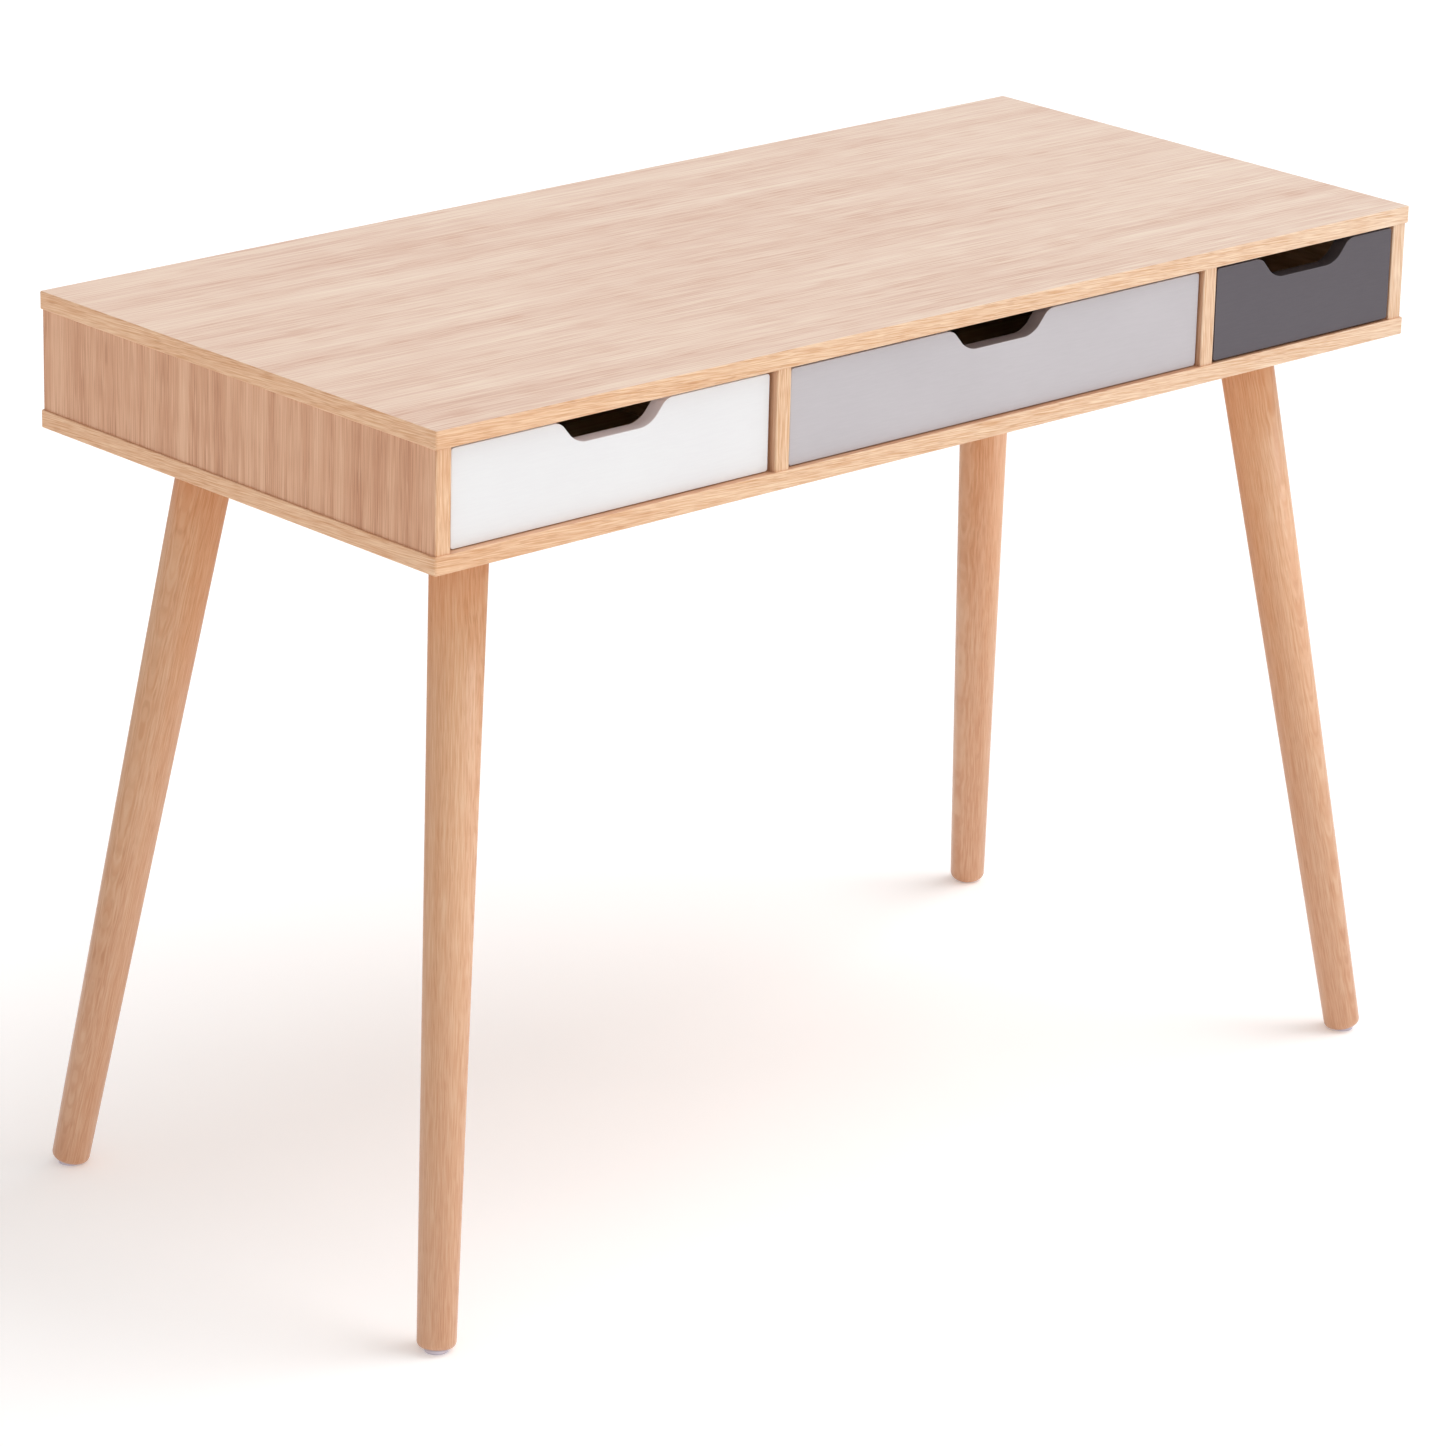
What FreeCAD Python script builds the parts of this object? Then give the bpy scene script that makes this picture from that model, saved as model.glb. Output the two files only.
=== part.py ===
import FreeCAD
import Part

import math
import os

# Writing desk: a shallow three-drawer case on four turned, splayed legs.
# Frame: origin on the floor under the middle of the desk, +X to the right,
# the drawers face -Y, +Z up. All sizes are in millimetres.

V = FreeCAD.Vector

# --- the case ---------------------------------------------------------------
desk_width = 1100.0
desk_depth = 500.0
desk_height = 768.0
board = 15.0
bay_height = 85.0
band = 1.0
plan_corner_radius = 2.0
arris_radius = 0.9
upright_inset = 2.0

top_z1 = desk_height
top_z0 = top_z1 - board
floor_z1 = top_z0 - bay_height
floor_z0 = floor_z1 - board

case_x = desk_width / 2 - upright_inset
upright_front = -desk_depth / 2 + upright_inset
upright_rear = desk_depth / 2 - upright_inset
back_front = upright_rear - board

left_divider_x = -196.0
right_divider_x = 295.0

# --- the legs ---------------------------------------------------------------
leg_top_x = 446.0
leg_top_y = 156.0
leg_splay_x = 90.0
leg_splay_y = 87.0
leg_top_radius = 24.0
leg_foot_radius = 16.0
leg_end_rounding = 6.0
leg_end_height = 2.4
glide_top_radius = 10.5
glide_foot_radius = 8.5
glide_depth = 5.0
glide_stem_radius = 3.0
glide_stem_length = 15.0

hanger_bolt_radius = 4.0
hanger_bolt_up = 12.0
hanger_bolt_down = 45.0
insert_radius = 6.0
insert_start = 2.0
insert_end = 13.0
leg_dowel_radius = 4.0
leg_dowel_offset = 13.0
leg_dowel_up = 9.0
leg_dowel_down = 20.0

# --- knock-down fittings ----------------------------------------------------
# Each set: bolt depth in the panel, reach into the joined board,
# cam radius, cam depth and the thickness of the joined board.
case_cam = {"seat": 11.0, "reach": 24.0, "radius": 7.5, "depth": 12.0, "board": board}
drawer_cam = {"seat": 9.0, "reach": 22.0, "radius": 6.0, "depth": 9.0, "board": 12.0}
bolt_radius = 3.0
bolt_neck_radius = 2.3
bolt_hole_radius = 3.4
cam_slot_radius = 3.3

case_dowel_radius = 4.0
case_dowel_in_panel = 10.0
case_dowel_in_upright = 20.0
case_cam_y = (-200.0, 150.0)
case_dowel_y = (-150.0, 190.0)
back_cam_x = (-365.0, 57.0, 420.0)
back_dowel_x = (-480.0, -250.0, 180.0, 480.0)

# --- the drawers ------------------------------------------------------------
# Name, left and right wall of the bay, how far the closed front stands
# behind the front edges of the uprights, the gap at each end of the front
# and the gap under it.
bays = (
    ("left", -case_x + board, left_divider_x, 5.0, 4.0, 0.8),
    ("middle", left_divider_x + board, right_divider_x, 3.5, 3.0, 1.0),
    ("right", right_divider_x + board, case_x - board, 0.6, 1.8, 1.8),
)
front_thickness = 14.0
front_height = 80.8
front_corner_radius = 2.5
front_edge_radius = 0.5

notch_depth = 19.8
notch_top_half = 55.0
notch_foot_half = 38.0
notch_foot_radius = 22.0
notch_top_radius = 12.0

box_side_gap = 4.0
box_board = 12.0
box_length = 430.0
box_z0 = floor_z1 + 6.0
box_z1 = box_z0 + 60.0
bottom_z0 = box_z0 + 6.0
bottom_thickness = 4.0
bottom_groove = 6.0

runner_z = box_z0 + 31.0
runner_height = 10.0
runner_length = 400.0
runner_tongue = 6.0
runner_nose = 5.0
runner_play_z = 0.3
runner_play_x = 0.5
runner_front_gap = 1.0

cam_z = box_z0 + 48.0
dowel_z = box_z0 + 17.0
drawer_dowel_radius = 3.0
drawer_dowel_in_front = 8.0
drawer_dowel_in_side = 16.0

screw_radius = 1.75
screw_head_radius = 3.4
screw_head_depth = 2.2
runner_screw_length = 20.0
runner_screw_y_left = (30.0, 200.0, 370.0)
runner_screw_y_right = (50.0, 220.0, 385.0)
back_screw_length = 30.0
back_screw_z = (dowel_z - 1.0, cam_z)

nodes = {}
cuts = {}


def block(x0, x1, y0, y1, z0, z1):
    """Box between two corners."""
    return Part.makeBox(x1 - x0, y1 - y0, z1 - z0, V(x0, y0, z0))


def rod(start, direction, radius, length):
    """Round bar from a start point along a direction."""
    return Part.makeCylinder(radius, length, start, direction)


def add(name, shape):
    """Keep a shape as the solid, or the next solid, of a node."""
    nodes.setdefault(name, []).append(shape)


def cut(name, tool):
    """Remember a hole or groove to be cut from a node."""
    cuts.setdefault(name, []).append(tool)


def edges_at(shape, axis, value):
    """Edges of a shape that lie in the plane axis = value."""
    low = {"x": "XMin", "y": "YMin", "z": "ZMin"}[axis]
    high = {"x": "XMax", "y": "YMax", "z": "ZMax"}[axis]
    found = []
    for edge in shape.Edges:
        box = edge.BoundBox
        if abs(getattr(box, low) - value) < 1e-4 and abs(getattr(box, high) - value) < 1e-4:
            found.append(edge)
    return found


def upright_edges(shape):
    """Straight vertical edges of a shape."""
    return [edge for edge in shape.Edges if edge.BoundBox.ZLength > 1.0]


def countersunk_screw(head_centre, direction, length):
    """Countersunk screw with a cross recess; returns the screw and its hole."""
    head = Part.makeCone(screw_head_radius, screw_radius, screw_head_depth, head_centre, direction)
    shank = rod(head_centre, direction, screw_radius, length)
    screw = head.fuse(shank).removeSplitter()
    side = direction.cross(V(0, 0, 1))
    for along in (side, V(0, 0, 1)):
        across = along.cross(direction)
        start = head_centre - along * 2.0 - across * 0.35 - direction * 0.5
        slot = Part.makeBox(4.0, 0.7, 1.8)
        turn = FreeCAD.Rotation(along, across, direction, "XYZ")
        slot.Placement = FreeCAD.Placement(start, turn)
        screw = screw.cut(slot)
    hole = head.fuse(shank)
    return screw, hole


def cam_joint(edge_point, into, face, size, panel, upright, locks, bolts):
    """One cam lock and bolt.

    The bolt is screwed into the panel at the edge point, runs along `into`
    in the joined board, and is held by the cam, which opens along `face`.
    """
    seat = size["seat"]
    reach = size["reach"]
    thread = rod(edge_point - into * seat, into, bolt_radius, seat)
    neck = rod(edge_point, into, bolt_neck_radius, reach)
    head = rod(edge_point + into * (reach - 3.0), into, bolt_radius, 5.0)
    add(bolts, thread.fuse(neck).fuse(head).removeSplitter())
    centre = edge_point + into * reach
    mouth = centre + face * (size["board"] / 2)
    cam = rod(mouth, face * -1, size["radius"], size["depth"])
    passage = rod(centre - into * (size["radius"] + 1), into, cam_slot_radius, size["radius"] + 4.0)
    cam = cam.cut(passage)
    slot_side = into.cross(face)
    slot = Part.makeBox(8.0, 1.2, 1.5)
    corner = mouth - into * 4.0 - slot_side * 0.6 - face * 1.0
    slot.Placement = FreeCAD.Placement(corner, FreeCAD.Rotation(into, slot_side, face, "XYZ"))
    add(locks, cam.cut(slot))
    cut(panel, rod(edge_point - into * seat, into, bolt_radius, seat))
    cut(upright, rod(edge_point, into, bolt_hole_radius, reach))
    cut(upright, rod(mouth, face * -1, size["radius"], size["depth"]))


def dowel_joint(edge_point, into, radius, in_panel, in_board, panel, board_name, node):
    """One round dowel glued across a joint, with its two holes."""
    pin = rod(edge_point - into * in_panel, into, radius, in_panel + in_board)
    add(node, pin)
    cut(panel, pin)
    cut(board_name, pin)


def banded_panel(name, band_name, z0, z1):
    """Flat panel with rounded plan corners and an edge band wrapped round it."""
    half_w = desk_width / 2
    half_d = desk_depth / 2
    outer = block(-half_w, half_w, -half_d, half_d, z0, z1)
    outer = outer.makeFillet(plan_corner_radius, upright_edges(outer))
    core = block(-half_w + band, half_w - band, -half_d + band, half_d - band, z0, z1)
    core = core.makeFillet(plan_corner_radius - band, upright_edges(core))
    rim = outer.makeFillet(arris_radius, edges_at(outer, "z", z0) + edges_at(outer, "z", z1))
    add(name, core)
    add(band_name, rim.cut(core))


def banded_upright(name, band_name, x0, y_rear):
    """Upright board of the case with its front edge band."""
    add(name, block(x0, x0 + board, upright_front + band, y_rear, floor_z1, top_z0))
    strip = block(x0, x0 + board, upright_front, upright_front + band, floor_z1, top_z0)
    front = [e for e in edges_at(strip, "y", upright_front) if e.BoundBox.ZLength > 1.0]
    add(band_name, strip.makeFillet(arris_radius, front))


def build_case():
    """Top, bottom, two sides, two dividers and the back, with their fittings."""
    banded_panel("top_panel", "top_edge_band", top_z0, top_z1)
    banded_panel("bottom_panel", "bottom_edge_band", floor_z0, floor_z1)
    uprights = (
        ("left_side_panel", "left_side_edge_band", -case_x, upright_rear, V(1, 0, 0)),
        ("left_divider", "left_divider_edge_band", left_divider_x, back_front, V(-1, 0, 0)),
        ("right_divider", "right_divider_edge_band", right_divider_x, back_front, V(1, 0, 0)),
        ("right_side_panel", "right_side_edge_band", case_x - board, upright_rear, V(-1, 0, 0)),
    )
    for name, band_name, x0, y_rear, face in uprights:
        banded_upright(name, band_name, x0, y_rear)
        for panel, z, into in (("top_panel", top_z0, V(0, 0, -1)), ("bottom_panel", floor_z1, V(0, 0, 1))):
            for y in case_cam_y:
                point = V(x0 + board / 2, y, z)
                cam_joint(point, into, face, case_cam, panel, name, "case_cam_locks", "case_cam_bolts")
            for y in case_dowel_y:
                point = V(x0 + board / 2, y, z)
                dowel_joint(point, into, case_dowel_radius, case_dowel_in_panel,
                            case_dowel_in_upright, panel, name, "case_dowels")
    build_back()


def build_back():
    """Back board between the sides, held to the top and bottom panels."""
    add("back_panel", block(-case_x + board, case_x - board, back_front, upright_rear, floor_z1, top_z0))
    mid_y = (back_front + upright_rear) / 2
    for panel, z, into in (("top_panel", top_z0, V(0, 0, -1)), ("bottom_panel", floor_z1, V(0, 0, 1))):
        for x in back_cam_x:
            cam_joint(V(x, mid_y, z), into, V(0, -1, 0), case_cam, panel, "back_panel",
                      "case_cam_locks", "case_cam_bolts")
        for x in back_dowel_x:
            dowel_joint(V(x, mid_y, z), into, case_dowel_radius, case_dowel_in_panel,
                        case_dowel_in_upright, panel, "back_panel", "case_dowels")


def leg_axis(side_x, side_y):
    """Middle of a leg's top end and the unit direction down the leg."""
    top = V(side_x * leg_top_x, side_y * leg_top_y, floor_z0)
    foot = V(side_x * (leg_top_x + leg_splay_x), side_y * (leg_top_y + leg_splay_y), 0)
    down = (foot - top).normalize()
    return top, down


def leg_radius(distance, length):
    """Radius of the tapered leg at a distance down its axis."""
    return leg_top_radius + (leg_foot_radius - leg_top_radius) * distance / length


def build_leg(name, side_x, side_y):
    """Turned tapered leg, its hanger bolt, insert, two dowels and foot glide."""
    top, down = leg_axis(side_x, side_y)
    length = (floor_z0 - leg_end_height) / -down.z
    spare = 30.0
    end = top + down * length
    leg = Part.makeCone(leg_radius(-spare, length), leg_foot_radius, length + spare,
                        top - down * spare, down)
    rim = [edge for edge in leg.Edges if edge.Length < 2 * math.pi * leg_foot_radius + 0.5
           and edge.CenterOfMass.distanceToPoint(end) < 1.0 and edge.Closed]
    leg = leg.makeFillet(leg_end_rounding, rim)
    above = block(top.x - 80, top.x + 80, top.y - 80, top.y + 80, floor_z0, floor_z0 + 120)
    add(name, leg.cut(above))

    bolt = rod(top - down * hanger_bolt_up, down, hanger_bolt_radius, hanger_bolt_up + hanger_bolt_down)
    add("leg_hanger_bolts", bolt)
    cut(name, bolt)
    shell = rod(top - down * insert_end, down, insert_radius, insert_end - insert_start)
    add("leg_inserts", shell.cut(bolt))
    cut("bottom_panel", rod(top - down * insert_end, down, insert_radius, insert_end + 5))

    outward = V(side_x * leg_splay_x, side_y * leg_splay_y, 0).normalize()
    across = down.cross(outward).normalize()
    for side in (-1, 1):
        start = top + across * (side * leg_dowel_offset) - down * leg_dowel_up
        pin = rod(start, down, leg_dowel_radius, leg_dowel_up + leg_dowel_down)
        add("leg_dowels", pin)
        cut(name, pin)
        cut("bottom_panel", pin)

    disc = Part.makeCone(glide_top_radius, glide_foot_radius, glide_depth, end, down)
    stem = rod(end - down * glide_stem_length, down, glide_stem_radius, glide_stem_length + 1)
    under_floor = block(end.x - 40, end.x + 40, end.y - 40, end.y + 40, -20, 0)
    add("foot_glides", disc.fuse(stem).removeSplitter().cut(under_floor))
    cut(name, rod(end - down * glide_stem_length, down, glide_stem_radius, glide_stem_length + 1))


def notch_tool(mid_x, y0, y1, z_top):
    """Finger notch: a shallow dish with sloping ends and rounded corners."""
    z_foot = z_top - notch_depth
    rise = z_top + notch_depth
    run = notch_top_half - notch_foot_half
    far = notch_top_half + run
    corners = [
        V(mid_x - far - 40, y0, rise),
        V(mid_x - far - 40, y0, z_top),
        V(mid_x - notch_top_half, y0, z_top),
        V(mid_x - notch_foot_half, y0, z_foot),
        V(mid_x + notch_foot_half, y0, z_foot),
        V(mid_x + notch_top_half, y0, z_top),
        V(mid_x + far + 40, y0, z_top),
        V(mid_x + far + 40, y0, rise),
    ]
    face = Part.Face(Part.makePolygon(corners + corners[:1]))
    tool = face.extrude(V(0, y1 - y0, 0))
    foot = [e for e in edges_at(tool, "z", z_foot) if e.BoundBox.XLength < 1e-6]
    tool = tool.makeFillet(notch_foot_radius, foot)
    shoulder = [e for e in edges_at(tool, "z", z_top)
                if e.BoundBox.XLength < 1e-6 and abs(abs(e.BoundBox.XMin - mid_x) - notch_top_half) < 0.01]
    return tool.makeFillet(notch_top_radius, shoulder)


def build_front(name, x0, x1, y_front, z0):
    """Painted drawer front with the finger notch in its top edge."""
    z1 = z0 + front_height
    y_rear = y_front + front_thickness
    plate = block(x0, x1, y_front, y_rear, z0, z1)
    corners = [e for e in plate.Edges if e.BoundBox.YLength > 1.0]
    plate = plate.makeFillet(front_corner_radius, corners)
    plate = plate.cut(notch_tool((x0 + x1) / 2, y_front - 1, y_rear + 1, z1))
    plate = plate.makeFillet(front_edge_radius, edges_at(plate, "y", y_front))
    add(name, plate)
    return y_rear


def build_runner(bay, hand, wall_x, inward, y0):
    """Plastic runner screwed to the wall of a bay."""
    name = bay + "_bay_runner_" + hand
    reach = box_side_gap + runner_tongue
    x0, x1 = sorted((wall_x, wall_x + inward * reach))
    bar = block(x0, x1, y0, y0 + runner_length, runner_z - runner_height / 2, runner_z + runner_height / 2)
    nose_x = wall_x + inward * reach
    nose = [e for e in edges_at(bar, "x", nose_x) if e.BoundBox.ZLength > 1.0 and e.BoundBox.YMax < y0 + 1]
    add(name, bar.makeChamfer(runner_nose, nose))
    places = runner_screw_y_left if hand == "left" else runner_screw_y_right
    wall = {
        ("left", "left"): "left_side_panel",
        ("left", "right"): "left_divider",
        ("middle", "left"): "left_divider",
        ("middle", "right"): "right_divider",
        ("right", "left"): "right_divider",
        ("right", "right"): "right_side_panel",
    }[(bay, hand)]
    for offset in places:
        screw, hole = countersunk_screw(V(nose_x, y0 + offset, runner_z), V(-inward, 0, 0), runner_screw_length)
        add("runner_screws", screw)
        cut(name, hole)
        cut(wall, hole)


def build_drawer(bay, wall_left, wall_right, setback, end_gap, foot_gap):
    """One drawer: front, two sides, back, bottom and their fittings."""
    body = bay + "_drawer"
    y_front = upright_front + setback
    y_box = build_front(body + "_front", wall_left + end_gap, wall_right - end_gap, y_front, floor_z1 + foot_gap)
    y_end = y_box + box_length
    inner_left = wall_left + box_side_gap + box_board
    inner_right = wall_right - box_side_gap - box_board

    add(body + "_back", block(inner_left, inner_right, y_end - box_board, y_end, box_z0, box_z1))
    bottom = block(inner_left - bottom_groove, inner_right + bottom_groove, y_box - bottom_groove,
                   y_end - box_board + bottom_groove, bottom_z0, bottom_z0 + bottom_thickness)
    add(body + "_bottom", bottom)
    cut(body + "_front", bottom)
    cut(body + "_back", bottom)

    for hand, wall_x, inward in (("left", wall_left, 1), ("right", wall_right, -1)):
        side = body + "_side_" + hand
        outer_x = wall_x + inward * box_side_gap
        inner_x = outer_x + inward * box_board
        x0, x1 = sorted((outer_x, inner_x))
        mid_x = (x0 + x1) / 2
        add(side, block(x0, x1, y_box, y_end, box_z0, box_z1))
        cut(side, bottom)
        groove_x = outer_x + inward * (runner_tongue + runner_play_x)
        g0, g1 = sorted((outer_x - inward, groove_x))
        half = runner_height / 2 + runner_play_z
        cut(side, block(g0, g1, y_box - 1, y_end + 1, runner_z - half, runner_z + half))
        cam_joint(V(mid_x, y_box, cam_z), V(0, 1, 0), V(inward, 0, 0), drawer_cam,
                  body + "_front", side, body + "_cam_locks", body + "_cam_bolts")
        dowel_joint(V(mid_x, y_box, dowel_z), V(0, 1, 0), drawer_dowel_radius, drawer_dowel_in_front,
                    drawer_dowel_in_side, body + "_front", side, body + "_dowels")
        for z in back_screw_z:
            head = V(outer_x, y_end - box_board / 2, z)
            screw, hole = countersunk_screw(head, V(inward, 0, 0), back_screw_length)
            add(body + "_back_screws", screw)
            cut(side, hole)
            cut(body + "_back", hole)
        build_runner(bay, hand, wall_x, inward, y_box + runner_front_gap)


def finished(name):
    """The node's solids with every hole cut."""
    shapes = nodes[name]
    tools = cuts.get(name, [])
    if tools:
        shapes = [shape.cut(tools) for shape in shapes]
    solids = [solid for shape in shapes for solid in shape.Solids]
    return solids[0] if len(solids) == 1 else Part.makeCompound(solids)


def main():
    os.makedirs("parts", exist_ok=True)
    build_case()
    for name, side_x, side_y in (
        ("front_left_leg", -1, -1),
        ("front_right_leg", 1, -1),
        ("rear_left_leg", -1, 1),
        ("rear_right_leg", 1, 1),
    ):
        build_leg(name, side_x, side_y)
    for bay in bays:
        build_drawer(*bay)
    for name in nodes:
        shape = finished(name)
        shape.exportStep("parts/" + name + ".step")
        print(name, len(shape.Solids), round(shape.Volume / 1000, 1), shape.isValid())
    print("nodes", len(nodes))


main()
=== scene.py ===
"""Looks of a writing desk with drawers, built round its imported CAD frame.

The desk is a shallow case with three drawers on four turned, splayed legs.
The worktop, edge bands, legs, glides and drawer fronts are modelled here. The
drilled and grooved boards and the runners are merged copies of their CAD shape
with their sharp edges broken. The fittings keep their CAD shape and get a
finish. Everything is in metres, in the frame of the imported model.
"""

import logging
import math
from dataclasses import dataclass, field
from enum import Enum
from typing import ClassVar

import bmesh
import bpy
from mathutils import Matrix, Vector


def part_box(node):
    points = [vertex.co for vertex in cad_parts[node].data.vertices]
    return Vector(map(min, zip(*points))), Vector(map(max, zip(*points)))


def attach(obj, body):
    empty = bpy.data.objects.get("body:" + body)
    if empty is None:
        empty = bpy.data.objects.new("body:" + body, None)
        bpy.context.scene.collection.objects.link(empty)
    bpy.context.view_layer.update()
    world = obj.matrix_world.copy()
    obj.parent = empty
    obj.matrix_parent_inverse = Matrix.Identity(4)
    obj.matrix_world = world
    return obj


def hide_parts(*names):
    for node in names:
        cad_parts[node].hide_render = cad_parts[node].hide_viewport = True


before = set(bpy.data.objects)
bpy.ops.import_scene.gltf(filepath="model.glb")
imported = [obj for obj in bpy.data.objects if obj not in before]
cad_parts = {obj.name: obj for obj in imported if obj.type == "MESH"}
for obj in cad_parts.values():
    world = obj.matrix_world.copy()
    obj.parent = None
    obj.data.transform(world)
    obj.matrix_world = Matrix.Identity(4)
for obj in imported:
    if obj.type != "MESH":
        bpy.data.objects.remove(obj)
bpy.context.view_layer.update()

log = logging.getLogger("writing_desk")

# Attributes that the finishes read: place in the timber, rounded edges (paler wood, painted highlight on
# lacquer) and the notch's sides (painted shade on lacquer).
GRAIN = "grain"
RIM = "rim"
NOTCH_SHADE_MASK = "notch_shade"

# Points closer than the first are one point, and those this near a plane lie in it.
MERGE_DISTANCE = 1e-6
PLANE_TOLERANCE = 1e-5

# Faces that meet at less than the first angle are one face, at more than the second an edge.
COPLANAR = math.radians(0.5)
SHARP = math.radians(40.0)

# Share of a unit direction along an axis: above the first an edge runs along the axis,
# above the second a face lies square to it, and below the third it is a side face.
ALONG = 0.999
LEVEL = 0.9
SIDE = 0.5
UP = Vector((0.0, 0.0, 1.0))

Colour = tuple[float, float, float]
Stops = tuple[tuple[float, Colour], ...]
Socket = bpy.types.NodeSocket


def linear(colour: Colour) -> tuple[float, float, float, float]:
    """Turn a display colour into the linear colour that shaders use.

    Args:
        colour: Red, green and blue from 0 to 255, as on a paint card.

    Returns:
        Linear red, green, blue and an alpha of one.
    """
    parts = []
    for value in colour:
        share = value / 255.0
        parts.append(share / 12.92 if share <= 0.04045 else ((share + 0.055) / 1.055) ** 2.4)
    return parts[0], parts[1], parts[2], 1.0


def set_stops(ramp: bpy.types.Node, stops: Stops) -> None:
    """Set the colours of a colour ramp.

    Args:
        ramp: The ramp node.
        stops: Positions and display colours, in order.
    """
    elements = ramp.color_ramp.elements
    while len(elements) < len(stops):
        elements.new(0.5)
    for element, (position, colour) in zip(elements, stops):
        element.position = position
        element.color = linear(colour)


def direction(azimuth: float, elevation: float) -> Vector:
    """Direction in which a place lies, seen from the desk.

    Args:
        azimuth: Degrees to the right of straight ahead of the drawers.
        elevation: Degrees above the floor.

    Returns:
        The unit direction.
    """
    turn, rise = math.radians(azimuth), math.radians(elevation)
    return Vector((math.sin(turn) * math.cos(rise), -math.cos(turn) * math.cos(rise), math.sin(rise)))


class Slot(Enum):
    """The desk's material slots."""

    OAK_TOP = "oak_top"
    OAK_EDGE = "oak_edge"
    OAK_CASE = "oak_case"
    LEG_WOOD = "leg_wood"
    WHITE_PAINT = "white_paint"
    GREY_PAINT = "grey_paint"
    DARK_PAINT = "dark_paint"
    BOX_WOOD = "box_wood"
    BOX_BOTTOM = "box_bottom"
    GLIDE_PLASTIC = "glide_plastic"
    RUNNER_PLASTIC = "runner_plastic"
    SCREW_STEEL = "screw_steel"
    CAM_METAL = "cam_metal"
    DOWEL_WOOD = "dowel_wood"


class Run(Enum):
    """Which way the grain of a board runs: its axis, then across, then through."""

    LEVEL = (0, 1, 2)
    LEVEL_UPRIGHT = (0, 2, 1)
    DEEP = (1, 2, 0)
    UPRIGHT_SIDE = (2, 1, 0)
    UPRIGHT_FRONT = (2, 0, 1)


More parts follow.
